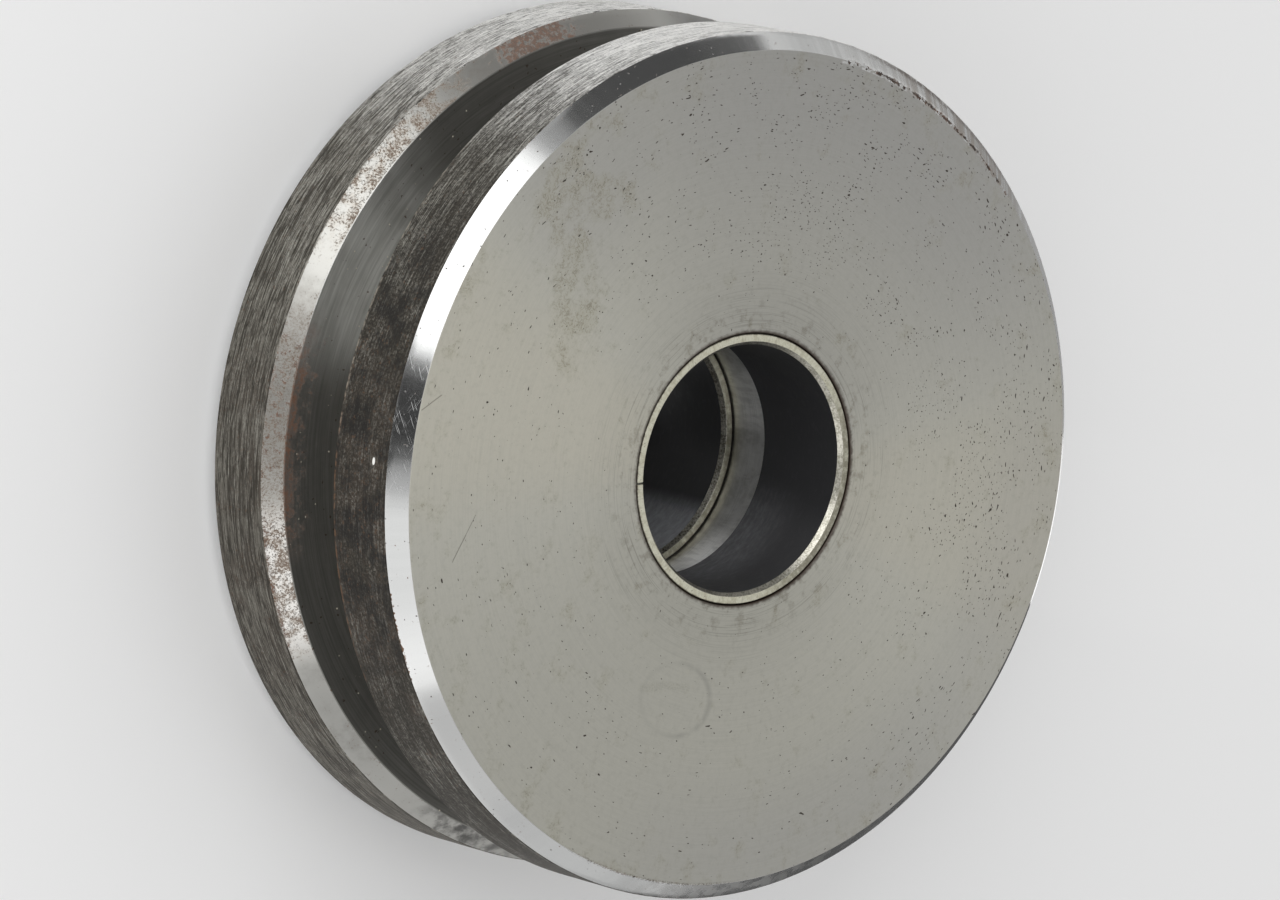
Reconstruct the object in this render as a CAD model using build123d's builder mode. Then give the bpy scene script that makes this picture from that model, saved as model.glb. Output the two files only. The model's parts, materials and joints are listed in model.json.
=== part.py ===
"""A steel rope pulley: a thick turned wheel with a round-bottomed groove, and two split bushes pressed in its bore.

The wheel lies on its rear face, with its axis along Z and the origin at the centre of that face.
All sizes are in millimetres.
"""

import math
import os

from build123d import *

os.makedirs("parts", exist_ok=True)

# The wheel, as it comes off the lathe
wheel_diameter = 140.0
corner_chamfer = 2.8  # leg of the 45 degree chamfer on the four rim corners
rear_land = 12.0  # width of the rim between its two chamfers, on the rear side
front_land = 13.0  # the same on the front side, which leaves the groove a little nearer the rear face
groove_width = 13.8  # between the groove's straight walls
groove_depth = 20.0  # from the rim down to the bottom of the rounded floor
bore_mouth_chamfer = 0.2

# The bushes: steel strip with a dry lining, rolled into a tube and pressed in
shaft_diameter = 40.0
bush_wall = 2.0
bush_length = 20.0
bush_recess = 0.2  # how far each bush is pressed in below the wheel's face
lead_chamfer_width = 0.3  # across the wall, on the outer edge of each end
lead_chamfer_length = 0.8  # along the axis
lining_chamfer_width = 0.6  # across the wall, on the inner edge of each end
lining_chamfer_length = 0.8  # along the axis
seam_gap = 0.15  # between the ends of the rolled strip
front_seam_angle = -73.7  # where each seam lies, in degrees about Z from X
rear_seam_angle = -120.0

# What follows from them
rim_radius = wheel_diameter / 2
lining_radius = shaft_diameter / 2
bore_radius = lining_radius + bush_wall
groove_bottom = rear_land + 2 * corner_chamfer
groove_top = groove_bottom + groove_width
wheel_width = groove_top + front_land + 2 * corner_chamfer
floor_radius = rim_radius - groove_depth
floor_arc_radius = groove_width / 2

# Wheel: its half section, with a groove cut by a tool with a full nose radius, turned round the axis
with BuildPart() as pulley_wheel:
    with BuildSketch(Plane.XZ) as half_section:
        with Locations((bore_radius, 0)):
            Rectangle(rim_radius - bore_radius, wheel_width, align=(Align.MIN, Align.MIN))
        with Locations((floor_radius + floor_arc_radius, groove_bottom + groove_width / 2)):
            Circle(floor_arc_radius, mode=Mode.SUBTRACT)
            Rectangle(groove_depth, groove_width, align=(Align.MIN, Align.CENTER), mode=Mode.SUBTRACT)
        corners = half_section.vertices().group_by(Axis.X)
        chamfer(corners[-1], corner_chamfer)
        chamfer(corners[0], bore_mouth_chamfer)
    revolve(axis=Axis.Z)

pulley_wheel.part.label = "pulley_wheel"
export_step(pulley_wheel.part, "parts/pulley_wheel.step")


def bush_section(start_angle, base_height):
    """The plane through Z at start_angle: its X runs outwards from the axis and its Y up it, from base_height."""
    return Plane(
        origin=(0, 0, base_height),
        x_dir=(math.cos(start_angle), math.sin(start_angle), 0),
        z_dir=(math.sin(start_angle), -math.cos(start_angle), 0),
    )


def split_bush(name, base_height, seam_angle):
    """Make a bush that stands on base_height: a strip's section turned almost once round Z, which leaves its seam."""
    seam_turn = seam_gap / bore_radius
    start_angle = math.radians(seam_angle) + seam_turn / 2
    with BuildPart() as bush:
        with BuildSketch(bush_section(start_angle, base_height)):
            with BuildLine():
                Polyline(
                    (lining_radius + lining_chamfer_width, 0),
                    (bore_radius - lead_chamfer_width, 0),
                    (bore_radius, lead_chamfer_length),
                    (bore_radius, bush_length - lead_chamfer_length),
                    (bore_radius - lead_chamfer_width, bush_length),
                    (lining_radius + lining_chamfer_width, bush_length),
                    (lining_radius, bush_length - lining_chamfer_length),
                    (lining_radius, lining_chamfer_length),
                    close=True,
                )
            make_face()
        revolve(axis=Axis.Z, revolution_arc=360 - math.degrees(seam_turn))
    bush.part.label = name
    export_step(bush.part, f"parts/{name}.step")


split_bush("rear_bush", bush_recess, rear_seam_angle)
split_bush("front_bush", wheel_width - bush_recess - bush_length, front_seam_angle)
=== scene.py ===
"""Dresses a rope pulley: the turned steel wheel, its two split bushes and the studio round them.

Lengths are in metres unless a name ends in mm, and materials work in millimetres. Angles round the wheel are
measured about Z from X, and the camera's azimuth 0 looks along +Y.
"""

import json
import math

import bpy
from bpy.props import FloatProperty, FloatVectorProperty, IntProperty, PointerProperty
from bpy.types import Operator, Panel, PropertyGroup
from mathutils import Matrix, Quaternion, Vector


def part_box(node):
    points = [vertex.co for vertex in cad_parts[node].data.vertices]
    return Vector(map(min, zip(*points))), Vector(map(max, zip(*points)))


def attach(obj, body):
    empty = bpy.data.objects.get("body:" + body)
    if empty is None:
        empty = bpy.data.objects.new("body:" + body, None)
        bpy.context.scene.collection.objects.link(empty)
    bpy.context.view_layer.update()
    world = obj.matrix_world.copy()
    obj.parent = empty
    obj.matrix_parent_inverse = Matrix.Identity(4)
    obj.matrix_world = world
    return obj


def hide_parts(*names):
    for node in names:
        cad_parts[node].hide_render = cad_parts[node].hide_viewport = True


bl_info = {
    "name": "Rope pulley",
    "version": (1, 0, 0),
    "blender": (4, 5, 0),
    "location": "3D View > Sidebar > Pulley",
    "description": "Turns a grooved pulley wheel, presses two split bushes into it and sets up its studio",
    "category": "Object",
}

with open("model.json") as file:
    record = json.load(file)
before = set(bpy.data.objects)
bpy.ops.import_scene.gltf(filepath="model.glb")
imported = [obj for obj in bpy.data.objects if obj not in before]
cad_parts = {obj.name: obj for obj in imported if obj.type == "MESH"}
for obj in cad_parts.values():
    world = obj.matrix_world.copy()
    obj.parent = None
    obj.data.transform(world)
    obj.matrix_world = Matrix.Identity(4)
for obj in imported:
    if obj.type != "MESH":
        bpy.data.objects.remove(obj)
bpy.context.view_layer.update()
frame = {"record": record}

MM = 0.001
WHEEL_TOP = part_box("pulley_wheel")[1]
FRONT_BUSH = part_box("front_bush")
REAR_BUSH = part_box("rear_bush")
AXLE_BORE = next(mount for mount in frame["record"]["mounts"] if mount["name"] == "axle_bore")
SHAFT_RADIUS = AXLE_BORE["dims"]["r_mm"] * MM
PATH_RADIUS = 1 * MM  # the small circle that a half section is carried round
CHAMFER = 2.8 * MM
RIM_MM = WHEEL_TOP.x / MM
FRONT_MM = WHEEL_TOP.z / MM
FACE_EDGE_MM = (WHEEL_TOP.x - CHAMFER) / MM
FLOOR_GAP = 0.02 * MM  # keeps the floor and the wheel's rear face out of one plane
FAR = 1.0  # a pitch that adds no points to a run
WHITE = (1, 1, 1, 1)


def length(name, description, default):
    """A length that a user may change."""
    return FloatProperty(name=name, description=description, default=default, unit="LENGTH", precision=5)


def angle(name, description, degrees):
    """An angle that a user may change."""
    return FloatProperty(name=name, description=description, default=math.radians(degrees), subtype="ANGLE")


def number(name, description, default):
    """A plain number that a user may change."""
    return FloatProperty(name=name, description=description, default=default)


def colour(name, description, default):
    """A linear colour that a user may change."""
    kind = {"subtype": "COLOR", "size": 3, "min": 0, "max": 1}
    return FloatVectorProperty(name=name, description=description, default=default, **kind)


class PulleyWheelSizes(PropertyGroup):
    """Sizes of the turned wheel."""

    rim_radius: length("Rim radius", "From the axis to the rim", round(WHEEL_TOP.x, 4))
    width: length("Width", "From the rear face to the front face", WHEEL_TOP.z)
    corner_chamfer: length("Corner chamfer", "Leg of the chamfer on each rim corner", CHAMFER)
    rear_land: length("Rear land", "Width of the rim behind the groove, between its chamfers", 12 * MM)
    groove_width: length("Groove width", "Between the groove's walls", 13.8 * MM)
    groove_depth: length("Groove depth", "From the rim to the groove's floor", 20 * MM)
    bore_radius: length("Bore radius", "From the axis to the bushes' seat", SHAFT_RADIUS + 2 * MM)
    mouth_chamfer: length("Mouth chamfer", "Leg of the chamfer at the bore's mouths", 0.2 * MM)
    edge_rounding: length("Edge rounding", "Radius left on the rim corners by wear", 0.16 * MM)
    nick_depth: length("Nick depth", "How deep the corner of the front face is nicked", 0.22 * MM)
    scale_relief: length("Scale relief", "How rough the mill scale of the rim is", 0.05 * MM)
    segments: IntProperty(name="Segments", description="Facets round the wheel", default=864, min=64)


class PulleyBushSizes(PropertyGroup):
    """Sizes of the split bushes."""

    wall: length("Wall", "Thickness of the rolled strip", 2 * MM)
    lead_width: length("Lead width", "Outer end chamfer, across the wall", 0.3 * MM)
    lead_length: length("Lead length", "Outer end chamfer, along the axis", 0.8 * MM)
    lining_width: length("Lining width", "Inner end chamfer, across the wall", 0.6 * MM)
    lining_length: length("Lining length", "Inner end chamfer, along the axis", 0.8 * MM)
    edge_rounding: length("Edge rounding", "Radius left on the strip's edges", 0.06 * MM)
    seam_gap: length("Seam gap", "Between the ends of the strip", 0.15 * MM)
    front_seam: angle("Front seam", "Where the front bush is split", -73.7)
    rear_seam: angle("Rear seam", "Where the rear bush is split", -120)
    segments: IntProperty(name="Segments", description="Facets round a bush", default=540, min=32)


class PulleyFinishes(PropertyGroup):
    """Colours of the metals and of what lies on them."""

    face_steel: colour("Face steel", "Turned faces", (0.50, 0.492, 0.437))
    # face_shade is the colour of the painted shade on the turned faces.
    face_shade: colour("Face shade", "Turned faces where they are dulled", (0.42, 0.415, 0.395))
    corner_steel: colour("Corner steel", "Chamfer between face and rim", (0.56, 0.565, 0.56))
    bevel_steel: colour("Bevel steel", "Chamfers at the groove's mouth", (0.455, 0.45, 0.425))
    groove_steel: colour("Groove steel", "Walls and floor of the groove", (0.27, 0.265, 0.245))
    bore_steel: colour("Bore steel", "Seat of the bushes", (0.60, 0.60, 0.585))
    mill_scale: colour("Mill scale", "Dark skin of the rolled bar on the rim", (0.022, 0.019, 0.0145))
    bare_streak: colour("Bare streak", "Steel that shows through the mill scale", (0.94, 0.935, 0.91))
    rust: colour("Rust", "Light rust", (0.20, 0.085, 0.04))
    # Also used as painted shade in the gaps between the bushes and the bore.
    old_rust_and_gap_shade: colour("Old rust", "Rust in pits and nicks", (0.042, 0.028, 0.019))
    plating: colour("Plating", "Tin flash on the bushes' ends", (0.66, 0.65, 0.53))
    bronze: colour("Bronze", "Sintered layer cut open by the inner chamfer", (0.62, 0.60, 0.53))
    lining: colour("Lining", "Dry lining inside the bushes", (0.022, 0.022, 0.024))


class PulleyStudio(PropertyGroup):
    """Camera, lamps and floor."""

    camera_distance: length("Camera distance", "From the aim point to the camera", 1.4943)
    camera_elevation: angle("Camera elevation", "Height of the view above the floor", 50.12)
    camera_azimuth: angle("Camera azimuth", "Direction of the view round the wheel", -0.05)
    camera_roll: angle("Camera roll", "Turn of the picture about the line of sight", 103.15)
    lens_mm: number("Lens", "Focal length in millimetres", 266.3)
    aim_right: length("Aim right", "Where the view's centre meets the front face, along X", 0.75 * MM)
    aim_near: length("Aim near", "The same, towards the camera's side", 22.1 * MM)
    floor_colour: colour("Floor colour", "Plain pale floor", (0.90, 0.90, 0.90))
    world_level: number("World level", "Brightness of the room", 0.62)
    horizon_level: number("Horizon level", "Brightness of the room at floor height", 0.85)


def maths(operation):
    """A method for Field that adds one Math node."""

    def method(self, *others):
        return self.tree.math(operation, self, *others)

    return method


class Field:
    """The output of a node. Arithmetic on it adds Math nodes."""

    __add__ = __radd__ = maths("ADD")
    __mul__ = __rmul__ = maths("MULTIPLY")
    __sub__ = maths("SUBTRACT")
    __truediv__ = maths("DIVIDE")
    __gt__ = maths("GREATER_THAN")
    __lt__ = maths("LESS_THAN")
    root = maths("SQRT")
    size = maths("ABSOLUTE")
    at_most = maths("MINIMUM")

    def __init__(self, tree, socket):
        self.tree = tree
        self.socket = socket

    def __rsub__(self, other):
        return self.tree.math("SUBTRACT", other, self)

    def __neg__(self):
        return self * -1

    def at_least(self, *others):
        """The highest of this field and the others."""
        highest = self
        for other in others:
            highest = self.tree.math("MAXIMUM", highest, other)
        return highest

    def rise(self, low, high):
        """0 at low and 1 at high, smooth between them; low may be the higher number, for a fall."""
        if not isinstance(low, Field) and not isinstance(high, Field) and low > high:
            return 1 - self.rise(high, low)
        settings = {"interpolation_type": "SMOOTHSTEP"}
        sockets = {"Value": self, "From Min": low, "From Max": high}
        return self.tree.add("ShaderNodeMapRange", settings, sockets)

    def between(self, low, high, softness):
        """1 between low and high."""
        return self.rise(low - softness, low + softness) * self.rise(high + softness, high - softness)


def distance(across, up):
    """Length of the line that runs so far across and so far up."""
    return (across * across + up * up).root()


def as_colour(value):
    """A colour with an alpha of 1, or the field as it is."""
    return value if isinstance(value, Field) else (*value[:3], 1.0)


def scaled(shade, factor):
    """A colour made darker or lighter."""
    return [channel * factor for channel in shade]


def brushed(strength):
    """The shine of steel that was turned on a lathe."""
    return {"Anisotropic": strength, "Anisotropic Rotation": 0.25}


class NodeTree:
    """Adds nodes to a node tree and joins them."""

    def __init__(self, node_tree):
        self.node_tree = node_tree

    def end_with(self, shader, output="ShaderNodeOutputMaterial"):
        """Joins a shader to a new output."""
        end = self.node_tree.nodes.new(output)
        self.node_tree.links.new(shader.socket, end.inputs["Surface"])

    def add(self, kind, settings=None, sockets=None, output=0):
        """A new node's output. Settings come first, then each named or numbered socket's value or link."""
        node = self.node_tree.nodes.new(kind)
        for name, value in (settings or {}).items():
            setattr(node, name, value)
        for key, value in (sockets or {}).items():
            if isinstance(value, Field):
                self.node_tree.links.new(value.socket, node.inputs[key])
            else:
                node.inputs[key].default_value = value
        return Field(self, node.outputs[output])

    def math(self, operation, *values):
        return self.add("ShaderNodeMath", {"operation": operation}, dict(enumerate(values)))

    def vector(self, x, y, z):
        return self.add("ShaderNodeCombineXYZ", None, {"X": x, "Y": y, "Z": z})

    def vector_math(self, operation, sockets):
        return self.add("ShaderNodeVectorMath", {"operation": operation}, sockets)

    def parts(self, vector):
        """The X, Y and Z of a vector."""
        first = self.add("ShaderNodeSeparateXYZ", None, {0: vector})
        return [Field(self, output) for output in first.socket.node.outputs]

    def mix(self, share, first, second):
        """The first colour where share is 0 and the second where it is 1."""
        settings = {"data_type": "RGBA", "clamp_factor": True}
        sockets = {0: share, 6: as_colour(first), 7: as_colour(second)}
        return self.add("ShaderNodeMix", settings, sockets, output=2)

    def coat(self, base, *layers):
        """A base colour with others laid over it in turn, each given as its share and its colour."""
        for share, shade in layers:
            base = self.mix(share, base, shade)
        return base

    def noise_at(self, vector, scale, detail=2.0, roughness=0.5, distortion=0.0, output=0):
        sockets = {"Vector": vector, "Scale": scale, "Detail": detail, "Roughness": roughness}
        sockets["Distortion"] = distortion
        return self.add("ShaderNodeTexNoise", {"noise_dimensions": "3D"}, sockets, output)

    def spots(self, vector, scale, share, size, dimensions="3D"):
        """1 inside round spots. Share is how many of the cells have one, and size its radius in cells."""
        settings = {"voronoi_dimensions": dimensions}
        away = self.add("ShaderNodeTexVoronoi", settings, {"Vector": vector, "Scale": scale})
        drawn = Field(self, away.socket.node.outputs["Color"])
        chance, spread, _ = self.parts(drawn)
        edge = (spread * 0.6 + 0.4) * size
        return ((edge - away) / edge).rise(0.0, 0.3) * (chance < share)


class MaterialTree(NodeTree):
    """The emptied tree of a new material."""

    def __init__(self, name):
        self.material = bpy.data.materials.new(name)
        self.material.use_nodes = True
        super().__init__(self.material.node_tree)
        self.node_tree.nodes.clear()

    def finish(self, base, roughness, metallic, relief=None, constants=None):
        """Joins the shader. Relief is a height in millimetres."""
        sockets = {"Base Color": as_colour(base), "Roughness": roughness, "Metallic": metallic}
        if relief is not None:
            bump = {"Height": relief, "Distance": MM, "Strength": 1.0}
            sockets["Normal"] = self.add("ShaderNodeBump", None, bump)
        sockets.update(constants or {})
        self.end_with(self.add("ShaderNodeBsdfPrincipled", None, sockets))
        return self.material


class Surface(MaterialTree):
    """A material on Object coordinates, in millimetres, with the wheel's own directions worked out."""

    def __init__(self, name):
        super().__init__(name)
        metres = self.add("ShaderNodeTexCoord", output="Object")
        self.place = self.vector_math("SCALE", {0: metres, "Scale": 1 / MM})
        self.x, self.y, self.height = self.parts(self.place)
        self.radius = distance(self.x, self.y)
        self.out_x = self.x / self.radius
        self.out_y = self.y / self.radius
        self.turn = self.math("ARCTAN2", self.y, self.x)

    def noise(self, scale, detail=2.0, roughness=0.5, distortion=0.0):
        """Noise over the piece."""
        return self.noise_at(self.place, scale, detail, roughness, distortion)

    def drawn(self, around, across, detail=3.0, roughness=0.6, offset=0.0, tilt=0.0):
        """Noise drawn out round the wheel: around sets how short its marks are, and across how fine."""
        depth = self.radius + self.height * (1 + tilt) + self.x * tilt
        stretched = self.vector(self.out_x * around + offset, self.out_y * around, depth * across)
        return self.noise_at(stretched, 1.0, detail, roughness)

    def warped(self, vector, scale, amount):
        """Coordinates pushed about by noise, so that round spots come out ragged."""
        pushes = self.noise_at(vector, scale, output="Color")
        centred = self.vector_math("SUBTRACT", {0: pushes, 1: (0.5, 0.5, 0.5)})
        return self.vector_math("MULTIPLY_ADD", {0: centred, 1: (amount, amount, amount), 2: vector})

    def beside(self, degrees, half_width, softness):
        """1 within half_width degrees of an angle round the wheel."""
        middle = math.radians(degrees)
        facing_it = self.out_x * math.cos(middle) + self.out_y * math.sin(middle)
        edge = math.cos(math.radians(min(half_width + softness, 180)))
        full = math.cos(math.radians(max(half_width - softness, 0)))
        return facing_it.rise(edge, full)

    def arcs(self, *arcs):
        """The sum of arcs round the wheel, each given as its angle, half width, softness and strength."""
        return sum(self.beside(*arc) * strength for *arc, strength in arcs)

    def strokes(self, *strokes):
        """1 on straight strokes across the face, each given as its start, end and half width."""
        covers = []
        for start, end, half_width in strokes:
            from_x = self.x - start[0]
            from_y = self.y - start[1]
            run_x = end[0] - start[0]
            run_y = end[1] - start[1]
            squared = run_x * run_x + run_y * run_y
            share = (from_x * (run_x / squared) + from_y * (run_y / squared)).at_least(0.0).at_most(1.0)
            off = distance(from_x - share * run_x, from_y - share * run_y)
            covers.append(off.rise(half_width, half_width * 0.3))
        return covers[0].at_least(*covers[1:])

    def hairlines(self, along, across, degrees, shift=0.0):
        """1 on thin straight scratches that run at one angle."""
        lean = math.radians(degrees)
        down_line = (along * math.cos(lean) + across * math.sin(lean)) * 0.1 + shift
        over_line = (across * math.cos(lean) - along * math.sin(lean)) * 9.0
        return self.noise_at(self.vector(down_line, over_line, 0.0), 1.0, 1.0).rise(0.65, 0.71)

    def edge_nicks(self, colours):
        """1 on the dark ragged line where the front face's corner is nicked, and the colour of its rust."""
        dent = self.add("ShaderNodeAttribute", {"attribute_name": "nick"}, output="Fac")
        ragged = self.noise(2.6, 3.0, 0.8)
        nicked = (dent + (ragged - 0.5) * 2.6).rise(0.36, 0.60) * dent.rise(0.03, 0.12)
        near_edge = distance(self.radius - FACE_EDGE_MM, self.height - FRONT_MM).rise(0.42, 0.12)
        grime = near_edge * self.beside(0, 13, 5) * ragged.rise(0.45, 0.6)
        rust = self.mix(self.noise(0.5, 3.0).rise(0.47, 0.60), colours.old_rust_and_gap_shade, (0.11, 0.062, 0.042))
        return nicked.at_least(grime * 0.8), rust


def face_material(colours):
    """Finely turned steel, with pits, stains and worn rings round the bore, painted shade on some sectors and
    painted warm highlights on two sides.
    """
    skin = Surface("turned_face")
    front = skin.height.rise(24.0, 26.0)
    fine = skin.drawn(3.0, 4.2)
    mottle = skin.noise(0.8, 5.0, 0.75)
    bore_edge = 22.5
    round_bore = skin.radius.rise(36.0, bore_edge)
    rings = skin.drawn(2.2, 6.0, 2.0, offset=40.0).rise(0.54, 0.68) * round_bore
    # Darker round the bore's mouth.
    mouth_darkening = (skin.radius + skin.noise(1.2) * 0.7).rise(23.1, 22.4)
    bore_smudge = skin.noise(0.4, 4.0, 0.7).rise(0.5, 0.66) * skin.radius.rise(31.0, bore_edge)

    upper_stain = skin.strokes(((-37, -48), (-13, -40), 8.0), ((-33, -50), (-37, -38), 6.0))
    edge_stain = skin.beside(-55, 13, 10) * skin.radius.between(34, 60, 7)
    gathered = (upper_stain * 0.2 + edge_stain * 0.04) * front + skin.radius.rise(58, 67) * 0.08
    stain = (skin.noise(0.2, 4.0, 0.65) + gathered).rise(0.55, 0.84)
    dots = (skin.noise(1.7, 3.0, 0.7) + stain * 0.06).rise(0.46, 0.54)
    wriggles = (skin.noise(1.0, 2.0, 0.6, 1.2) - 0.5).size().rise(0.065, 0.025)
    speckle = wriggles * dots * (stain * 0.9 + 0.06)

    busy = skin.arcs((120, 58, 30, 0.5), (-160, 30, 16, 0.26)) + 0.08
    clumps = skin.noise(0.15, 3.0, 0.6).rise(0.44, 0.60) * 1.8 + 0.12
    crowd = busy * skin.radius.rise(24, 46) * clumps + 0.02
    unrolled = skin.warped(skin.vector(skin.turn * 20.0, skin.radius * 0.75, 0.0), 0.9, 1.0)
    pits = skin.spots(unrolled, 0.9, crowd * 0.35, 0.12, "2D")
    small_pits = skin.spots(unrolled, 2.0, crowd * 0.85, 0.16, "2D")
    specks = skin.spots(skin.warped(skin.place, 1.0, 0.5), 1.5, crowd * 0.4 + 0.14, 0.14)
    holes = pits.at_least(small_pits, specks * 0.5)

    ring_x, ring_y = 38.2, -3.2
    flattened = 0.82
    from_ring = distance(skin.x - ring_x, (skin.y - ring_y) * flattened)
    broken = skin.noise(0.3, 3.0).rise(0.32, 0.52) * (skin.y.rise(-7, 2) * 0.7 + 0.3)
    ring = from_ring.between(5.5, 6.2, 0.4) * broken * front
    dab = skin.strokes(((37.4, -10.4), (36.2, -5.0), 1.1), ((36.2, -5.0), (35.8, -1.5), 0.9))
    dab = dab * skin.noise(3.4, 4.0, 0.85).rise(0.42, 0.62) * front
    scratches = front * skin.strokes(
        ((24.4, -54.0), (16.4, -51.6), 0.1),
        ((24.0, -53.9), (19.8, -52.6), 0.16),
        ((2.4, -66.8), (-0.6, -63.6), 0.12),
    )
    nick, nick_rust = skin.edge_nicks(colours)

    # Painted shade: sectors of the face made darker with face_shade, more so towards the rim.
    painted_shade = (skin.beside(172, 38, 34) * (skin.radius.rise(28, 62) * 0.65 + 0.35)).at_least(
        skin.beside(33, 26, 26) * skin.radius.rise(44, 64) * 0.6,
        skin.beside(-140, 16, 14) * skin.radius.rise(36, 58) * 0.7,
        skin.beside(88, 18, 14) * skin.radius.rise(46, 60) * 0.5,
    )
    # Painted highlight: the face made warmer and a little lighter on two opposite sides.
    painted_warm_highlight = skin.beside(-92, 12, 12).at_least(skin.beside(92, 12, 12) * 0.8)
    base = skin.coat(
        colours.face_steel,
        (painted_shade, colours.face_shade),
        (painted_warm_highlight * 0.5, (0.52, 0.495, 0.415)),
        (fine.rise(0.35, 0.75) * 0.12, (0.30, 0.295, 0.27)),
        (mottle.rise(0.45, 0.7) * 0.14, (0.27, 0.26, 0.23)),
        (rings * 0.45 + round_bore * 0.1, (0.21, 0.205, 0.18)),
        (bore_smudge * 0.3, (0.12, 0.10, 0.07)),
        (stain * 0.32, (0.36, 0.338, 0.245)),
        (speckle * 0.4, (0.13, 0.112, 0.07)),
        (ring * 0.32, (0.22, 0.215, 0.20)),
        (dab * 0.22, (0.17, 0.155, 0.10)),
        (scratches * 0.55, (0.12, 0.11, 0.09)),
        (holes, (0.04, 0.031, 0.023)),
        (nick, nick_rust),
        (mouth_darkening * 0.9, colours.old_rust_and_gap_shade),
    )
    roughness = 0.36 + fine * 0.06 + stain * 0.08 + holes * 0.3 + mouth_darkening * 0.3
    metallic = 1.0 - (holes + mouth_darkening + nick).at_most(1.0) * 0.8
    relief = fine * 0.0014 - holes * 0.04 - rings * 0.002 - scratches * 0.02
    return skin.finish(base, roughness, metallic, relief, brushed(0.5))


def corner_material(colours):
    """The front chamfer: bright turned steel, nearly a mirror, with hairline scratches on one side, and
    painted highlights and painted shade in arcs round it.
    """
    skin = Surface("bright_corner")
    lines = skin.drawn(3.0, 5.0, 2.0)
    smear = skin.drawn(60.0, 0.25)
    slope = skin.height * 1.41  # down the 45 degree chamfer
    scored = skin.hairlines(skin.x, slope, 28).at_least(skin.hairlines(skin.x, slope, -24, 30.0) * 0.6)
    scored = scored * skin.noise(0.5, 3.0).rise(0.42, 0.62) * skin.beside(-86, 10, 6)
    grime = skin.beside(27, 20, 14) * skin.noise(0.4, 3.0).rise(0.3, 0.7)
    satin = skin.beside(140, 42, 12)
    browned = skin.beside(152, 13, 8)
    specks = skin.spots(skin.warped(skin.place, 1.5, 0.4), 1.1, 0.2, 0.2)
    rim_edge = skin.radius.rise(69.45, 69.95) * skin.beside(-57, 6, 3)
    rust_edge = (skin.noise(1.4, 3.0, 0.7) + rim_edge * 0.3).rise(0.66, 0.76)
    # Painted highlights and painted shade: arcs of the chamfer made lighter or darker in place of bright and
    # dark reflections.
    painted_highlights = skin.arcs((-44, 12, 8, 0.5), (14, 10, 8, 0.7), (168, 12, 8, 0.45), (-163, 5, 5, 0.6))
    painted_shade_arcs = skin.arcs((66, 7, 6, 0.62), (118, 8, 7, 0.5), (-129, 4, 4, 0.4))
    scuffed = skin.noise(0.9, 4.0, 0.7).rise(0.38, 0.52)
    worn_edge = skin.radius.rise(68.7, 69.6) * skin.beside(157, 14, 6) * scuffed
    nick, nick_rust = skin.edge_nicks(colours)
    base = skin.coat(
        colours.corner_steel,
        (smear * 0.3, scaled(colours.corner_steel, 0.8)),
        (painted_highlights, (0.82, 0.82, 0.81)),
        (painted_shade_arcs, (0.24, 0.24, 0.235)),
        (grime * 0.4, (0.14, 0.13, 0.11)),
        (satin * smear.rise(0.3, 0.7) * 0.4, (0.36, 0.355, 0.335)),
        (scored * 0.4, (0.85, 0.85, 0.85)),
        (browned * smear.rise(0.35, 0.6) * 0.6, (0.25, 0.20, 0.155)),
        (specks * 0.7, colours.old_rust_and_gap_shade),
        (worn_edge * 0.8, (0.10, 0.07, 0.052)),
        (rust_edge, (0.15, 0.08, 0.043)),
        (nick, nick_rust),
    )
    roughness = 0.11 + smear * 0.08 + scored * 0.25 + satin * 0.12 + grime * 0.25
    roughness = roughness + specks * 0.4 + rust_edge * 0.4
    metallic = 1.0 - specks.at_least(rust_edge, nick) * 0.7
    return skin.finish(base, roughness, metallic, lines * 0.0005 + scored * 0.002)


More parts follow.
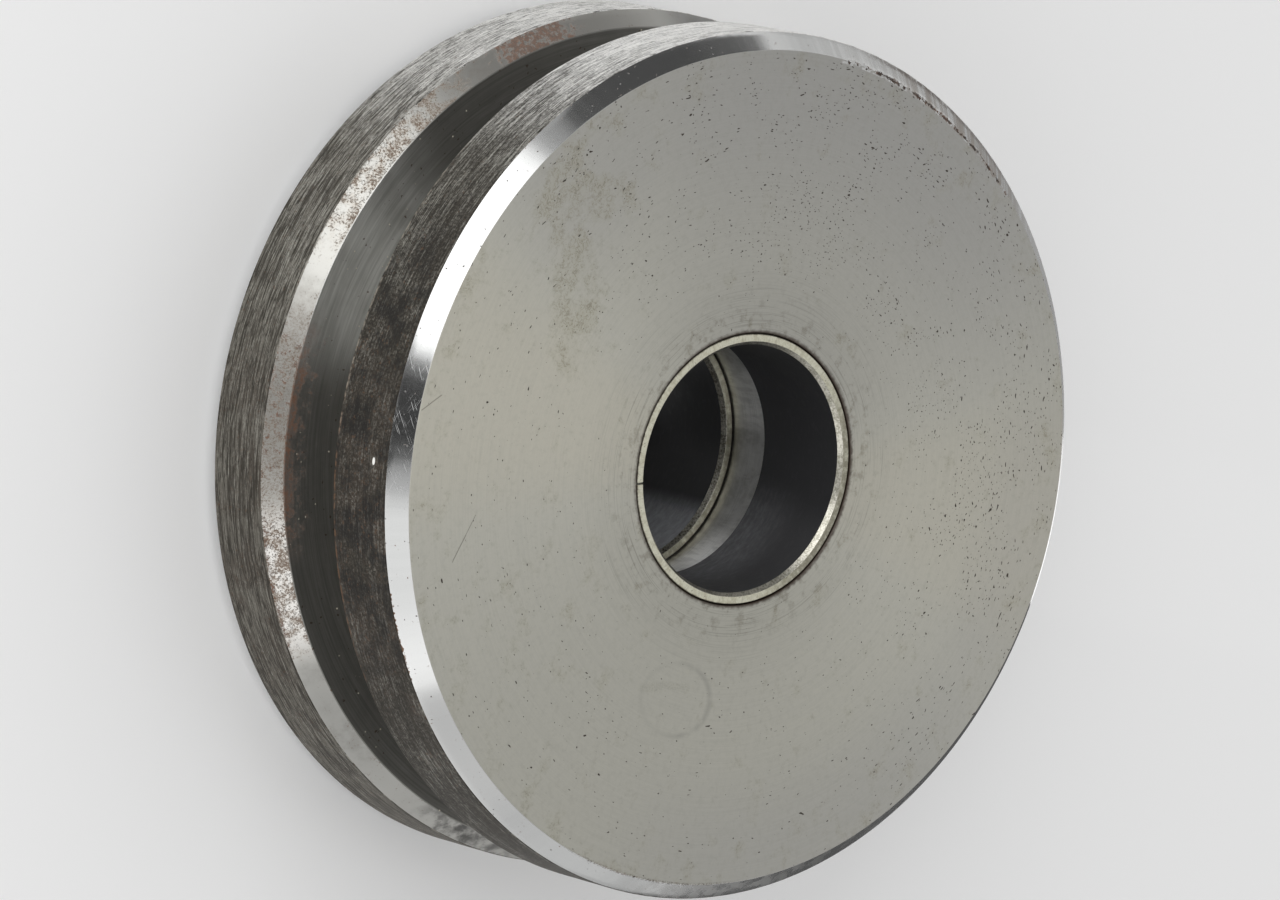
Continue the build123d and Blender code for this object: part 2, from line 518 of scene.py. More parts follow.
def bevel_material(colours):
    """The chamfers at the groove's mouth: turned steel, with fine black specks, patches of rust and a painted
    highlight in one arc.
    """
    skin = Surface("groove_corner")
    lines = skin.drawn(4.0, 3.4)
    grain = skin.noise(3.0, 4.0, 0.85)
    cloud = skin.noise(0.45, 4.0, 0.65)
    low_veil = skin.beside(-83, 12, 7)
    veil = low_veil.at_least(skin.beside(-152, 12, 8))
    # An arc at -60 degrees: rust pepper and blotches, and a painted highlight that makes the steel there
    # nearly white.
    rust_and_painted_highlight = skin.beside(-60, 9, 4)
    peppered = skin.beside(-123, 12, 8) + rust_and_painted_highlight * 1.2 + low_veil * 0.4
    edges = skin.radius.rise(69.2, 69.9) + skin.radius.rise(68.0, 67.2)
    pepper = (grain + peppered * 0.13 + (cloud - 0.5) * 0.5 + edges * 0.04).rise(0.63, 0.74)
    blotchy = skin.arcs((-150, 5, 5, 0.3), (-84, 11, 5, 0.15), (-120, 13, 6, 0.08))
    outer_rust = rust_and_painted_highlight * skin.radius.rise(69.0, 69.8) * 0.16
    blotch = (skin.noise(1.0, 4.0, 0.75) + blotchy + rust_and_painted_highlight * 0.06 + outer_rust).rise(0.66, 0.82)
    smudge = skin.beside(-9, 6, 5) * skin.noise(0.35, 4.0, 0.6).rise(0.36, 0.62)
    brushing = lines.rise(0.46, 0.66) * cloud.rise(0.36, 0.62)
    dusted = skin.beside(-81, 13, 7) * grain.rise(0.46, 0.6)
    pepper_colour = skin.mix(cloud.rise(0.42, 0.58), (0.07, 0.052, 0.04), (0.17, 0.11, 0.07))
    blotch_colour = skin.mix(grain.rise(0.4, 0.6), (0.07, 0.045, 0.032), colours.rust)
    base = skin.coat(
        colours.bevel_steel,
        (lines * 0.5, scaled(colours.bevel_steel, 0.8)),
        (brushing * (skin.beside(-171, 13, 8) * 0.4 + 0.28), (0.22, 0.21, 0.19)),
        (skin.beside(177, 8, 5) * (lines * 0.6 + 0.3), (0.14, 0.14, 0.14)),
        # Painted highlight in the arc at -60 degrees.
        (rust_and_painted_highlight * 0.85, (0.80, 0.78, 0.745)),
        (veil * 0.2, (0.26, 0.235, 0.205)),
        (dusted * 0.6, (0.17, 0.125, 0.09)),
        (peppered * cloud.rise(0.4, 0.6) * 0.25, (0.30, 0.22, 0.14)),
        (pepper * 0.8, pepper_colour),
        (blotch * 0.8, blotch_colour),
        (smudge * 0.85, (0.045, 0.043, 0.04)),
    )
    roughness = 0.27 + lines * 0.1 + veil * 0.08 + blotch.at_least(pepper) * 0.3 + smudge * 0.2
    metallic = 1.0 - blotch.at_least(pepper * 0.6, smudge) * 0.75
    relief = lines * 0.002 + blotch * 0.02 - pepper * 0.01
    return skin.finish(base, roughness, metallic, relief, brushed(0.3))


def scale_material(colours):
    """The rim: dark mill scale of the rolled bar, finely streaked, and worn down to the steel on one side."""
    skin = Surface("mill_scale")
    rear = skin.height.rise(27.0, 25.0)
    streaks = skin.drawn(16.0, 5.0, 3.0, 0.75, tilt=0.02)
    bands = skin.drawn(5.0, 1.6, 4.0, 0.7, offset=17.0, tilt=0.05)
    dashes = skin.drawn(26.0, 3.2, 3.0, 0.7, offset=60.0).rise(0.54, 0.63)
    seams = skin.drawn(9.0, 2.0, 3.0, 0.7, offset=90.0).rise(0.51, 0.57) * rear
    grain = skin.noise(2.1, 3.0, 0.75)
    cloud = skin.noise(0.13, 4.0, 0.65)
    wear = skin.arcs((-173, 30, 26, 0.64), (-114, 28, 24, rear * 0.1), (-119, 13, 10, 0.10 - rear * 0.02))
    wear = wear - skin.beside(-138, 8, 7) * (0.05 + rear * 0.05)
    brightened = wear.rise(0.1, 0.5)
    blotched = skin.beside(-80, 26, 12) * (1 - rear)
    lined = (streaks - 0.5) * 1.7 + (bands - 0.5)
    level = wear + lined * (1 - blotched * 0.35) + (grain - 0.5) * (0.9 + blotched * 0.5)
    bare = (level + (cloud - 0.5) * (blotched * 0.25 + 0.5)).rise(-0.05, 0.82)
    brown = skin.beside(-68, 20, 12) * cloud.rise(0.4, 0.6)
    black = (skin.noise(0.22, 5.0, 0.75) * 0.8 + grain * 0.3).rise(0.52, 0.62) * blotched
    rusty = (skin.noise(1.3, 3.0, 0.7) + cloud * 0.3 + blotched * 0.03).rise(0.77, 0.87)
    groove_edge = skin.height.rise(34.75, 34.4) * skin.height.rise(31.0, 33.0)
    ragged_edge = groove_edge * skin.noise(1.0, 3.0).rise(0.42, 0.6)
    chip_around = (skin.turn - math.radians(-80.3)) * (RIM_MM / 0.6)
    chip_up = (skin.height - 43.95) / 0.34
    chip = (chip_around * chip_around + chip_up * chip_up).rise(1.2, 0.8)
    scale = skin.coat(
        colours.mill_scale,
        (grain.rise(0.35, 0.65), scaled(colours.mill_scale, 2.4)),
        (rear * (streaks.rise(0.38, 0.62) * 0.6 + 0.4), (0.175, 0.163, 0.138)),
        (brown * 0.6, (0.055, 0.040, 0.029)),
        (black * 0.85, (0.012, 0.011, 0.010)),
    )
    base = skin.coat(
        scale,
        (bare * (1 - black * 0.7), skin.mix(brightened, (0.46, 0.45, 0.40), colours.bare_streak)),
        (dashes * (rear * 0.25 + 0.6), colours.mill_scale),
        (seams * (1 - brightened * 0.7) * 0.85, (0.035, 0.030, 0.023)),
        (rusty * 0.55, (0.12, 0.068, 0.038)),
        # Along the front rim's rear edge: a brown rust line near -70 degrees, and a lighter line near -104
        # degrees that is a painted edge highlight.
        (ragged_edge * skin.beside(-70, 20, 6) * 0.8, (0.16, 0.09, 0.05)),
        (ragged_edge * skin.beside(-104, 18, 8) * 0.7, (0.34, 0.31, 0.26)),
        (chip, (0.9, 0.9, 0.86)),
    )
    metallic = (bare * 0.8 + 0.15) * (1 - chip)
    relief = streaks * 0.03 + bands * 0.04 + grain * 0.02
    return skin.finish(base, 0.58 - bare * 0.2, metallic, relief, {"Specular IOR Level": 0.2})


def groove_material(colours):
    """Walls and floor of the groove: dark turned steel with a painted reflection on one side, and rusty at
    its mouth.
    """
    skin = Surface("groove_wall")
    rings = skin.drawn(2.4, 3.6)
    brush = skin.drawn(4.0, 1.3, 4.0, 0.65, offset=9.0)
    cloud = skin.noise(0.12, 3.0, 0.6)
    near_mouth = (skin.radius + (skin.noise(0.5, 5.0, 0.75) - 0.5) * 16.0).rise(63.6, 67.0)
    mottled = skin.noise(1.1, 4.0, 0.75).rise(0.40, 0.60) * 0.65 + 0.35
    rust_strip = near_mouth * skin.beside(-80, 13, 6) * mottled
    # Painted reflection: a lighter band on the walls on one side of the groove.
    painted_reflection = skin.beside(-108, 13, 9) * (cloud.rise(0.2, 0.6) * 0.4 + 0.6)
    dust = skin.spots(skin.place, 0.7, 0.55, 0.12)
    rust_grains = skin.spots(skin.warped(skin.place, 1.4, 0.9), 1.0, 0.25, 0.26)
    base = skin.coat(
        colours.groove_steel,
        (cloud.rise(0.35, 0.7) * 0.4, scaled(colours.groove_steel, 0.6)),
        (brush.rise(0.45, 0.7) * 0.3, (0.42, 0.41, 0.385)),
        (painted_reflection * (brush.rise(0.3, 0.7) * 0.5 + 0.5), (0.68, 0.68, 0.655)),
        (rings.rise(0.4, 0.7) * 0.3 * (1 - painted_reflection * 0.6), (0.08, 0.078, 0.07)),
        (rust_strip * 0.9, (0.18, 0.085, 0.045)),
        (rust_grains * 0.7, (0.10, 0.058, 0.035)),
        (dust * 0.8, (0.85, 0.78, 0.62)),
    )
    roughness = 0.36 + cloud * 0.15 + rust_strip * 0.2
    metallic = 0.9 - dust.at_least(rust_strip) * 0.7
    return skin.finish(base, roughness, metallic, rings * 0.003, brushed(0.4))


def bore_material(colours):
    """The seat of the bushes: bored steel with fingermarks, faint turning lines, painted highlight bands and
    painted shade in the gaps at the bushes' ends.
    """
    skin = Surface("bore_seat")
    lines = skin.drawn(1.6, 6.0)
    along = skin.drawn(26.0, 0.3)
    smears = skin.noise(0.35, 4.0, 0.65)
    # Painted highlight: two lighter bands round the seat.
    lighter = skin.beside(40, 16, 10).at_least(skin.beside(122, 12, 6))
    # Painted shade: the seat beside each bush's chamfered end, in the gap between bush and bore, made dark in
    # the old rust colour.
    gap = skin.height.rise(48.4, 48.9).at_least(skin.height.rise(1.6, 1.1))
    base = skin.coat(
        colours.bore_steel,
        (smears.rise(0.4, 0.7) * 0.45, (0.24, 0.235, 0.22)),
        (lighter * (along.rise(0.35, 0.65) * 0.5 + 0.5), (0.97, 0.97, 0.95)),
        (along.rise(0.5, 0.72) * 0.4, (0.75, 0.75, 0.73)),
        (lines.rise(0.5, 0.7) * 0.25, (0.3, 0.298, 0.28)),
        (gap, colours.old_rust_and_gap_shade),
    )
    return skin.finish(base, 0.3 + smears * 0.18, 1.0 - gap * 0.7, lines * 0.002)


def plating_material(colours):
    """Ends and back of the bushes: strip steel with a pale tin flash, a little worn, and painted shade on the
    outer chamfer where it meets the bore.
    """
    skin = Surface("bush_plating")
    rub = skin.noise(0.9, 4.0, 0.7)
    drag = skin.drawn(60.0, 0.8, 3.0, 0.65)
    dots = skin.spots(skin.warped(skin.place, 2.0, 0.3), 1.9, 0.3, 0.28)
    # Painted shade: the outer chamfer, in the gap against the bore, made dark.
    outer = (skin.radius + rub * 0.35).rise(21.72, 21.98)
    soiled = skin.beside(84, 44, 16) * (rub.rise(0.3, 0.6) * 0.5 + 0.3)
    base = skin.coat(
        colours.plating,
        (rub.rise(0.42, 0.66) * 0.5, (0.40, 0.37, 0.26)),
        (drag.rise(0.5, 0.72) * 0.35, (0.28, 0.26, 0.19)),
        (dots * 0.6, (0.10, 0.08, 0.055)),
        (soiled, (0.22, 0.205, 0.16)),
        (outer * 0.9, colours.old_rust_and_gap_shade),
    )
    return skin.finish(base, 0.32 + rub * 0.16, 0.95 - outer * 0.6, rub * 0.015 + drag * 0.008)


def bronze_material(colours):
    """The inner chamfer: bright bronze grains with dark lining between them, with painted shade that makes
    the dark deeper in the bore.
    """
    skin = Surface("cut_bronze")
    grains = skin.noise(3.0, 3.0, 0.7)
    bright = (grains + skin.noise(0.45, 3.0) * 0.5).rise(0.58, 0.90)
    # Painted shade: the dark between the grains is darker on the rear bush, deep in the bore.
    dark = skin.mix(skin.height.rise(30.0, 40.0), (0.17, 0.16, 0.125), (0.29, 0.28, 0.225))
    return skin.finish(skin.mix(bright, dark, colours.bronze), 0.3, 0.95, grains * 0.03)


def lining_material(colours):
    """The dry lining: near black, with a painted sheen in streaks and painted light in patches on one side of
    the bore.
    """
    skin = Surface("dry_lining")
    rear = skin.height.rise(26.0, 24.0)
    front = 1 - rear
    streaks = skin.drawn(12.0, 1.6, 4.0, 0.7)
    tooth = skin.noise(3.0, 2.0, 0.6)
    # Painted sheen: lighter streaks of lining on one side of each bush.
    front_painted_sheen = front * skin.beside(45, 24, 22) * skin.height.rise(44.0, 33.0) * 0.5
    painted_sheen_zone = rear * skin.beside(50, 12, 11) + front_painted_sheen
    brightened = painted_sheen_zone * (streaks.rise(0.3, 0.74) * (0.6 - rear * 0.35) + 0.3 + rear * 0.1)
    # Painted light: lighter patches of lining on one side of the bore.
    painted_light_patch = skin.beside(42, 30, 14) * front * 0.07 + skin.beside(38, 20, 14) * rear * 0.12
    painted_sheen_colour = skin.mix(rear, (0.26, 0.265, 0.28), (0.56, 0.58, 0.62))
    base = skin.coat(
        colours.lining,
        (streaks.rise(0.5, 0.75) * 0.5, scaled(colours.lining, 1.8)),
        (painted_light_patch, (0.3, 0.3, 0.31)),
        (brightened, painted_sheen_colour),
    )
    roughness = 0.38 + skin.noise(0.2, 3.0) * 0.14 - streaks.rise(0.5, 0.7) * 0.06
    roughness = roughness + rear * skin.arcs((118, 18, 12, 0.35), (50, 26, 14, 0.16))
    relief = streaks * 0.008 + tooth * 0.004
    return skin.finish(base, roughness, 0.0, relief, {"Specular IOR Level": 0.6})


def outline_points(corners, steps, margin):
    """The points (radius, height) of a closed half section that runs clockwise.

    Each corner is its radius, its height, its rounding, how far apart the points of the run after it may
    lie, and how far from the rounding further points stand, on both its sides. A rounding is an arc of so
    many steps.
    """
    places = [Vector(corner[:2]) for corner in corners]
    neighbours = zip(places[-1:] + places[:-1], places, places[1:] + places[:1])
    bends = []
    for (_, _, rounding, _, *beside), (before, here, after) in zip(corners, neighbours):
        margins = (margin, *beside)
        bends.append(rounded_corner(before, here, after, rounding, steps, margins) if rounding else [here])
    found = []
    for bend, next_bend, corner in zip(bends, bends[1:] + bends[:1], corners):
        run = next_bend[0] - bend[-1]
        pieces = max(1, math.ceil(run.length / corner[3]))
        found.extend(bend)
        found.extend(bend[-1] + run * (piece / pieces) for piece in range(1, pieces))
    return found


def rounded_corner(before, here, after, rounding, steps, margins):
    """Points round one corner of a half section, and at some distances before and after it."""
    back = (before - here).normalized()
    onward = (after - here).normalized()
    half_angle = back.angle(onward) / 2
    reach = rounding / math.tan(half_angle)
    middle = here + (back + onward).normalized() * (rounding / math.sin(half_angle))
    spoke = here + back * reach - middle
    turn = math.copysign(math.pi - 2 * half_angle, back.x * onward.y - back.y * onward.x)
    arc = []
    for step in range(steps + 1):
        bend = -turn * step / steps
        spin = Vector((
            spoke.x * math.cos(bend) - spoke.y * math.sin(bend),
            spoke.x * math.sin(bend) + spoke.y * math.cos(bend),
        ))
        arc.append(middle + spin)
    lead_in = [here + back * (reach + margin) for margin in reversed(margins)]
    lead_out = [here + onward * (reach + margin) for margin in margins]
    return [*lead_in, *arc, *lead_out]


def wheel_outline(sizes):
    """The wheel's half section, from the bore's rear mouth, along the front face, down the rim and back."""
    rim = sizes.rim_radius
    chamfer = sizes.corner_chamfer
    bore = sizes.bore_radius
    mouth = sizes.mouth_chamfer
    groove_bottom = sizes.rear_land + 2 * chamfer
    groove_top = groove_bottom + sizes.groove_width
    arc_radius = sizes.groove_width / 2
    arc_centre = rim - sizes.groove_depth + arc_radius
    arc_steps = 12
    worn = sizes.edge_rounding
    slight = worn / 5
    groove_floor = []
    for step in range(arc_steps + 1):
        turn = math.pi * step / arc_steps
        radius = arc_centre - arc_radius * math.sin(turn)
        groove_floor.append((radius, groove_bottom + arc_radius * (1 + math.cos(turn)), 0, 20 * MM))
    corners = (
        (bore, mouth, slight, 30 * MM),
        (bore, sizes.width - mouth, slight, FAR),
        (bore + mouth, sizes.width, slight, 16 * MM),
        (rim - chamfer, sizes.width, worn, 1.2 * MM, 0.28 * MM, 0.5 * MM, 0.8 * MM),
        (rim, sizes.width - chamfer, worn, 1.5 * MM),
        (rim, groove_top + chamfer, worn, 4 * MM),
        (rim - chamfer, groove_top, worn, 20 * MM),
        *groove_floor,
        (rim - chamfer, groove_bottom, worn, 1.5 * MM),
        (rim, groove_bottom - chamfer, worn, 1.5 * MM),
        (rim, chamfer, worn, 4 * MM),
        (rim - chamfer, 0, slight, 30 * MM),
        (bore + mouth, 0, slight, FAR),
    )
    return outline_points(corners, steps=3, margin=0.12 * MM)


def bush_outline(sizes, base, top):
    """A bush's section from its base to its top."""
    inner = SHAFT_RADIUS
    outer = SHAFT_RADIUS + sizes.wall
    corners = (
        (inner, base + sizes.lining_length),
        (inner, top - sizes.lining_length),
        (inner + sizes.lining_width, top),
        (outer - sizes.lead_width, top),
        (outer, top - sizes.lead_length),
        (outer, base + sizes.lead_length),
        (outer - sizes.lead_width, base),
        (inner + sizes.lining_width, base),
    )
    rounded = [(*corner, sizes.edge_rounding, FAR) for corner in corners]
    return outline_points(rounded, steps=2, margin=0.08 * MM)


def add_object(name, data):
    """A new object in the scene."""
    made = bpy.data.objects.new(name, data)
    bpy.context.scene.collection.objects.link(made)
    return made


def outline_object(name, points):
    """A closed wire in the plane that the lathe trees turn, with radius along X and height down Y."""
    mesh = bpy.data.meshes.new(name)
    edges = [(index, (index + 1) % len(points)) for index in range(len(points))]
    mesh.from_pydata([(point.x - PATH_RADIUS, -point.y, 0) for point in points], edges, [])
    return add_object(name, mesh)


class GeometryTree(NodeTree):
    """A Geometry Nodes tree with named inputs."""

    def __init__(self, name, numbers):
        group = bpy.data.node_groups.new(name, "GeometryNodeTree")
        super().__init__(group)
        for in_out in ("INPUT", "OUTPUT"):
            group.interface.new_socket(name="Geometry", in_out=in_out, socket_type="NodeSocketGeometry")
        kinds = {label: "NodeSocketFloat" for label in ("Path Radius", *numbers)}
        self.identifiers = {}
        for label, kind in {**kinds, "Segments": "NodeSocketInt"}.items():
            socket = group.interface.new_socket(name=label, in_out="INPUT", socket_type=kind)
            self.identifiers[label] = socket.identifier
        self.entrance = group.nodes.new("NodeGroupInput")
        self.exit = group.nodes.new("NodeGroupOutput")

    def given(self, label):
        """One of the tree's inputs."""
        return Field(self, self.entrance.outputs[label])

    def carry_along(self, path, capped):
        """The half section that the tree is run on, carried along a path."""
        profile = self.add("GeometryNodeMeshToCurve", None, {"Mesh": self.given("Geometry")})
        sockets = {"Curve": path, "Profile Curve": profile, "Fill Caps": capped}
        return self.add("GeometryNodeCurveToMesh", None, sockets)

    def position_fields(self):
        """Position, its X and Y, radius and height of what is evaluated, in metres."""
        place = self.add("GeometryNodeInputPosition")
        x, y, height = self.parts(place)
        return place, x, y, distance(x, y), height

    def dress(self, geometry, materials):
        """Gives each selection its material and ends the tree."""
        geometry = self.add("GeometryNodeRealizeInstances", None, {"Geometry": geometry})
        for material, selection in materials:
            sockets = {"Geometry": geometry, "Material": material}
            if selection is not None:
                sockets["Selection"] = selection
            geometry = self.add("GeometryNodeSetMaterial", None, sockets)
        self.node_tree.links.new(geometry.socket, self.exit.inputs["Geometry"])

    def apply(self, wire, values, name):
        """Runs the tree on a wire, and returns the result as a plain object, shaded smoothly."""
        modifier = wire.modifiers.new("Lathe", "NODES")
        modifier.node_group = self.node_tree
        for label, value in {"Path Radius": PATH_RADIUS, **values}.items():
            modifier[self.identifiers[label]] = value
        depsgraph = bpy.context.evaluated_depsgraph_get()
        mesh = bpy.data.meshes.new_from_object(wire.evaluated_get(depsgraph))
        wire.modifiers.clear()
        bpy.data.objects.remove(wire)
        mesh.name = name
        mesh.polygons.foreach_set("use_smooth", [True] * len(mesh.polygons))
        mesh.update()
        return add_object(name, mesh)


WHEEL_NUMBERS = ("Rim Radius", "Width", "Corner Chamfer", "Rear Land", "Groove Width", "Bore Radius")
WHEEL_WEAR = ("Scale Relief", "Nick Depth")


def wheel_tree(materials):
    """Turns the wheel's half section, roughens the rim, nicks the front corner and names the materials."""
    tree = GeometryTree("Turned wheel", (*WHEEL_NUMBERS, *WHEEL_WEAR))
    rim, width, chamfer, rear_land, groove_width, bore = map(tree.given, WHEEL_NUMBERS)
    scale_relief, nick_depth = map(tree.given, WHEEL_WEAR)
    path = {"Resolution": tree.given("Segments"), "Radius": tree.given("Path Radius")}
    circle = tree.add("GeometryNodeCurvePrimitiveCircle", None, path)
    wheel = tree.carry_along(circle, capped=False)

    place, x, y, radius, height = tree.position_fields()
    normal = tree.add("GeometryNodeInputNormal")
    close = distance(radius - (rim - chamfer), height - width).rise(0.75 * MM, 0.1 * MM)
    nicked_side = math.radians(161)
    towards_it = (y * math.sin(nicked_side) + x * math.cos(nicked_side)) / radius
    crowd = towards_it.rise(0.925, 0.985) * 0.17
    chance = tree.noise_at(tree.vector_math("SCALE", {0: place, "Scale": 1 / MM}), 0.7, 4.0, 0.7)
    nick = (chance + crowd).rise(0.57, 0.76) * crowd.rise(0.0, 0.06) * close
    stored = {"Geometry": wheel, "Name": "nick", "Value": nick}
    wheel = tree.add("GeometryNodeStoreNamedAttribute", {"data_type": "FLOAT", "domain": "POINT"}, stored)

    around, across = 30, 900  # how short and how fine the rim's streaks are
    streak_place = tree.vector(x / radius * around, y / radius * around, height * across)
    streak = tree.noise_at(streak_place, 1.0, 3.0, 0.6)
    on_rim = radius.rise(rim - 0.2 * MM, rim - 0.01 * MM)
    sink = nick * nick_depth + (streak + 0.1) * on_rim * scale_relief
    offset = tree.vector_math("SCALE", {0: normal, "Scale": -sink})
    wheel = tree.add("GeometryNodeSetPosition", None, {"Geometry": wheel, "Offset": offset})

    hair = 0.12 * MM
    groove_bottom = rear_land + 2 * chamfer
    groove_top = groove_bottom + groove_width
    outside = radius > bore + 4 * hair
    front_corner = (height < width - 0.2 * hair) * (height > width - chamfer) * outside
    rear_corner = (height > 0.2 * hair) * (height < chamfer) * outside
    mouth = (radius > rim - chamfer) * (height > chamfer) * (height < width - chamfer)
    in_bore = radius < bore + 2 * hair
    selections = [
        (materials["face"], None),
        (materials["corner"], front_corner.at_least(rear_corner) * (height > 2 * hair)),
        (materials["bevel"], mouth),
        (materials["scale"], radius > rim - 1.5 * hair),
        (materials["groove"], (height > groove_bottom - hair) * (height < groove_top + hair)),
        (materials["bore"], in_bore * (height > hair) * (height < width - hair)),
    ]
    tree.dress(wheel, selections)
    return tree


def bush_tree(materials):
    """Turns a bush's section almost once round, closes the strip's ends and names the materials."""
    tree = GeometryTree("Split bush", ("Seam", "Opening", "Shaft Radius", "Lining Width"))
    given = tree.given
    arc = {
        "Resolution": given("Segments"),
        "Radius": given("Path Radius"),
        "Start Angle": given("Seam") + given("Opening") * 0.5,
        "Sweep Angle": 2 * math.pi - given("Opening"),
    }
    path = tree.add("GeometryNodeCurveArc", {"mode": "RADIUS"}, arc)
    bush = tree.carry_along(path, capped=True)
    _, _, _, radius, _ = tree.position_fields()
    hair = 0.03 * MM
    selections = [
        (materials["plating"], None),
        (materials["bronze"], radius < given("Shaft Radius") + given("Lining Width")),
        (materials["lining"], radius < given("Shaft Radius") + hair),
    ]
    tree.dress(bush, selections)
    return tree


class PULLEY_OT_turn_wheel(Operator):
    """Turn the grooved wheel from its half section"""

    bl_idname = "pulley.turn_wheel"
    bl_label = "Turn wheel"

    def execute(self, context):
        sizes = context.scene.pulley_wheel
        colours = context.scene.pulley_finishes
        materials = {
            "face": face_material(colours),
            "corner": corner_material(colours),
            "bevel": bevel_material(colours),
            "scale": scale_material(colours),
            "groove": groove_material(colours),
            "bore": bore_material(colours),
        }
        labels = (*WHEEL_NUMBERS, *WHEEL_WEAR, "Segments")
        values = {label: getattr(sizes, label.lower().replace(" ", "_")) for label in labels}
        wire = outline_object("wheel_outline", wheel_outline(sizes))
        wheel = wheel_tree(materials).apply(wire, values, "turned_wheel")
        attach(wheel, "root")
        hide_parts("pulley_wheel")
        return {"FINISHED"}


class PULLEY_OT_roll_bushes(Operator):
    """Roll the two split bushes and press them into the bore"""

    bl_idname = "pulley.roll_bushes"
    bl_label = "Roll bushes"

    def execute(self, context):
        sizes = context.scene.pulley_bushes
        colours = context.scene.pulley_finishes
        materials = {
            "plating": plating_material(colours),
            "bronze": bronze_material(colours),
            "lining": lining_material(colours),
        }
        tree = bush_tree(materials)
        values = {
            "Opening": sizes.seam_gap / (SHAFT_RADIUS + sizes.wall),
            "Shaft Radius": SHAFT_RADIUS,
            "Lining Width": sizes.lining_width,
            "Segments": sizes.segments,
        }
        bushes = (
            ("front", FRONT_BUSH, sizes.front_seam),
            ("rear", REAR_BUSH, sizes.rear_seam),
        )
        for end, (low, high), seam in bushes:
            wire = outline_object(f"{end}_outline", bush_outline(sizes, low.z, high.z))
            bush = tree.apply(wire, {**values, "Seam": seam}, f"{end}_split_bush")
            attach(bush, "root")
            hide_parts(f"{end}_bush")
        return {"FINISHED"}


def direction(azimuth, elevation):
    """Unit vector towards a place round the wheel, in degrees; azimuth 0 is the camera's side."""
    turn = math.radians(azimuth)
    climb = math.radians(elevation)
    return Vector((math.sin(turn) * math.cos(climb), -math.cos(turn) * math.cos(climb), math.sin(climb)))


def facing(back):
    """Rotation of a thing that looks along -back with its top upwards."""
    return (-back).to_track_quat("-Z", "Y")


def stand(thing, place, rotation):
    """Puts a thing of the studio in its place."""
    thing.location = place
    thing.rotation_mode = "QUATERNION"
    thing.rotation_quaternion = rotation


def softbox(name, azimuth, elevation, away, width, height, brightness):
    """A rectangular lamp that faces the wheel. Brightness sets its power for each square metre of it."""
    data = bpy.data.lights.new(name, "AREA")
    data.shape = "RECTANGLE"
    data.size = width
    data.size_y = height
    data.energy = 4 * brightness * width * height
    lamp = add_object(name, data)
    back = direction(azimuth, elevation)
    stand(lamp, back * away, facing(back))
    lamp.visible_camera = False


def stage_sheet(name, width, height, material):
    """A flat rectangle of the stage, round the origin."""
    right = width / 2
    far = height / 2
    mesh = bpy.data.meshes.new(name)
    corners = [(-right, -far, 0), (right, -far, 0), (right, far, 0), (-right, far, 0)]
    mesh.from_pydata(corners, [], [(0, 1, 2, 3)])
    mesh.materials.append(material)
    sheet = add_object(name, mesh)
    return sheet


def card(name, place, rotation, width, height, level):
    """A card that only shows as a reflection in the metal. Level is how bright it looks there."""
    shade = MaterialTree(name)
    shade.end_with(shade.add("ShaderNodeEmission", None, {"Color": WHITE, "Strength": level}))
    sheet = stage_sheet(name, width, height, shade.material)
    stand(sheet, place, rotation)
    for ray in ("camera", "diffuse", "shadow", "transmission"):
        setattr(sheet, f"visible_{ray}", False)


def hung_card(name, azimuth, elevation, away, width, height, level):
    """A card that hangs in a direction from the wheel and faces it."""
    back = direction(azimuth, elevation)
    card(name, back * away, facing(back), width, height, level)


def laid_card(name, low, high, level):
    """A card that lies on the floor between two corners."""
    middle = Vector(((low[0] + high[0]) / 2, (low[1] + high[1]) / 2, 1 * MM))
    card(name, middle, Quaternion(), high[0] - low[0], high[1] - low[1], level)


def lay_floor(studio):
    """A wide plain floor, a hair below the wheel's rear face."""
    paint = MaterialTree("studio_floor")
    paint.finish(studio.floor_colour, 0.9, 0.0, None, {"Specular IOR Level": 0.2})
    across = 24.0
    floor = stage_sheet("studio_floor", across, across, paint.material)
    floor.location.z = -FLOOR_GAP


def light_room(studio):
    """A pale room: brightest at floor height, a little darker overhead."""
    world = bpy.data.worlds.new("studio_room")
    bpy.context.scene.world = world
    world.use_nodes = True
    world.node_tree.nodes.clear()
    room = NodeTree(world.node_tree)
    gaze = room.add("ShaderNodeTexCoord", output="Generated")
    _, _, climb = room.parts(gaze)
    level = studio.world_level + (studio.horizon_level - studio.world_level) * climb.size().rise(0.5, 0.1)
    glow = room.add("ShaderNodeBackground", None, {"Color": WHITE, "Strength": level})
    room.end_with(glow, "ShaderNodeOutputWorld")


def place_camera(studio):
    """A long lens, from the photograph's side, turned so that the wheel stands upright in the picture."""
    data = bpy.data.cameras.new("camera")
    data.lens = studio.lens_mm
    data.clip_start = 0.05
    data.clip_end = 60
    camera = add_object("camera", data)
    back = direction(math.degrees(studio.camera_azimuth), math.degrees(studio.camera_elevation))
    aim = Vector((studio.aim_right, -studio.aim_near, WHEEL_TOP.z))
    roll = Quaternion((0, 0, 1), studio.camera_roll)
    stand(camera, aim + back * studio.camera_distance, facing(back) @ roll)
    bpy.context.scene.camera = camera


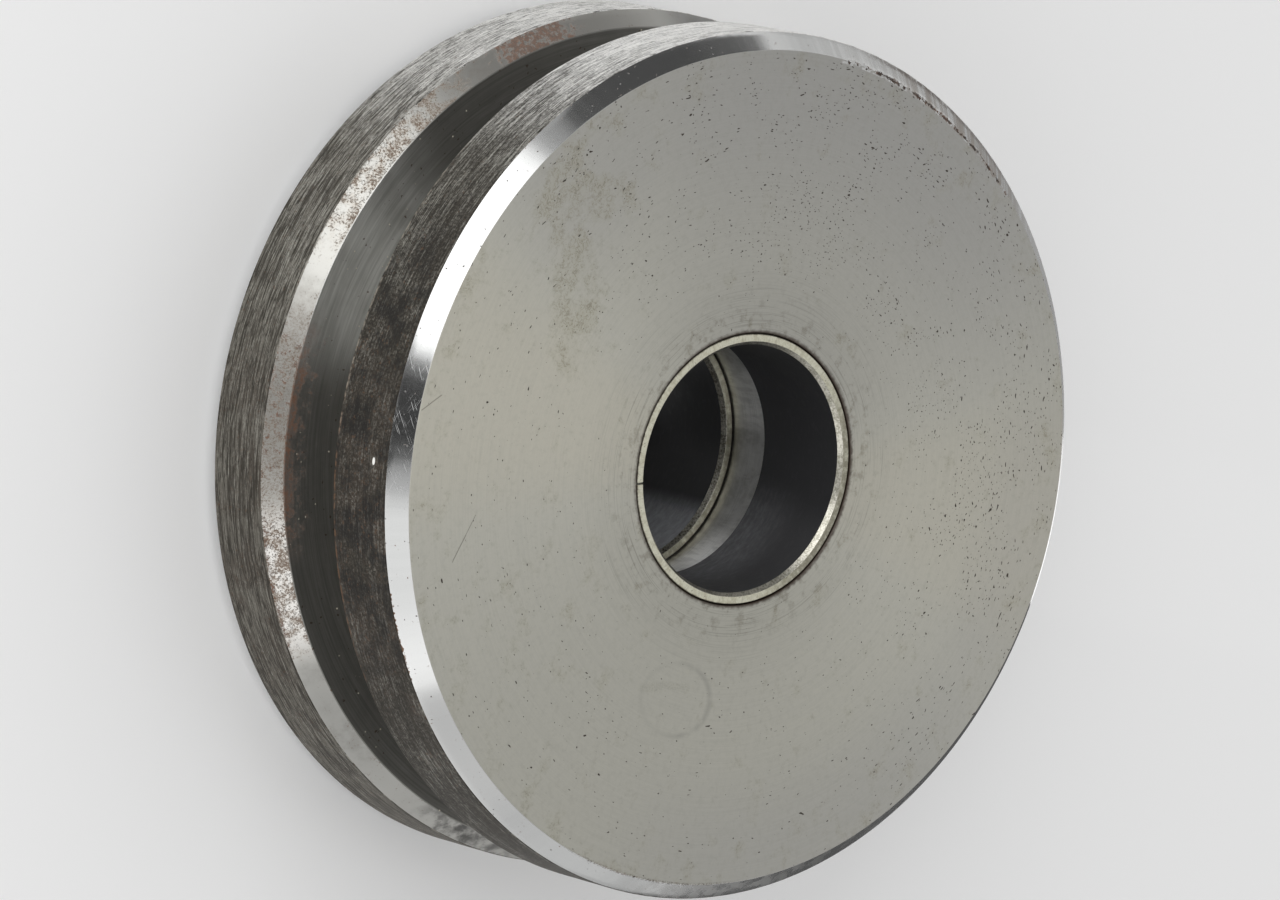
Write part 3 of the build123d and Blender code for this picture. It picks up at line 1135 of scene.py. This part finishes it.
class PULLEY_OT_set_stage(Operator):
    """Lay the floor, hang the lamps and place the camera"""

    bl_idname = "pulley.set_stage"
    bl_label = "Set stage"

    def execute(self, context):
        studio = context.scene.pulley_studio
        lay_floor(studio)
        light_room(studio)
        softbox("key_softbox", -37, 37, 1.2, 0.95, 0.9, 1.32)
        softbox("side_softbox", 43.7, 34, 1.2, 0.94, 0.8, 0.5)
        softbox("top_softbox", 180, 80, 1.3, 0.25, 0.7, 1.2)
        hung_card("left_card", -94, 19, 1.3, 1.0, 0.6, 0.10)
        hung_card("camera_card", 8.5, 38, 1.3, 0.6, 0.5, 0.04)
        laid_card("right_floor_card", (0.012, 0.08), (0.34, 0.9), 0.12)
        laid_card("left_floor_card", (-0.34, 0.1), (-0.02, 0.9), 0.5)
        laid_card("middle_floor_card", (-0.02, 0.1), (0.012, 0.2), 1.35)
        laid_card("bore_card", (-0.014, 0.0115), (-0.0045, 0.0175), 1.1)
        place_camera(studio)
        context.scene.view_settings.view_transform = "Standard"
        return {"FINISHED"}


class PULLEY_PT_sidebar(Panel):
    """Lists the pulley's sizes and steps."""

    bl_idname = "PULLEY_PT_sidebar"
    bl_label = "Rope pulley"
    bl_space_type = "VIEW_3D"
    bl_region_type = "UI"
    bl_category = "Pulley"

    def draw(self, context):
        for step in STEPS:
            self.layout.operator(step.bl_idname)
        for group_name in GROUPS:
            group = getattr(context.scene, group_name)
            box = self.layout.box()
            for name in group.__annotations__:
                box.prop(group, name)


GROUPS = {
    "pulley_wheel": PulleyWheelSizes,
    "pulley_bushes": PulleyBushSizes,
    "pulley_finishes": PulleyFinishes,
    "pulley_studio": PulleyStudio,
}
STEPS = (PULLEY_OT_turn_wheel, PULLEY_OT_roll_bushes, PULLEY_OT_set_stage)
CLASSES = (*GROUPS.values(), *STEPS, PULLEY_PT_sidebar)


def register():
    for made in CLASSES:
        bpy.utils.register_class(made)
    for name, group in GROUPS.items():
        setattr(bpy.types.Scene, name, PointerProperty(type=group))


def unregister():
    for name in GROUPS:
        delattr(bpy.types.Scene, name)
    for made in reversed(CLASSES):
        bpy.utils.unregister_class(made)


def main():
    register()
    bpy.ops.pulley.turn_wheel()
    bpy.ops.pulley.roll_bushes()
    bpy.ops.pulley.set_stage()


if __name__ == "__main__":
    main()
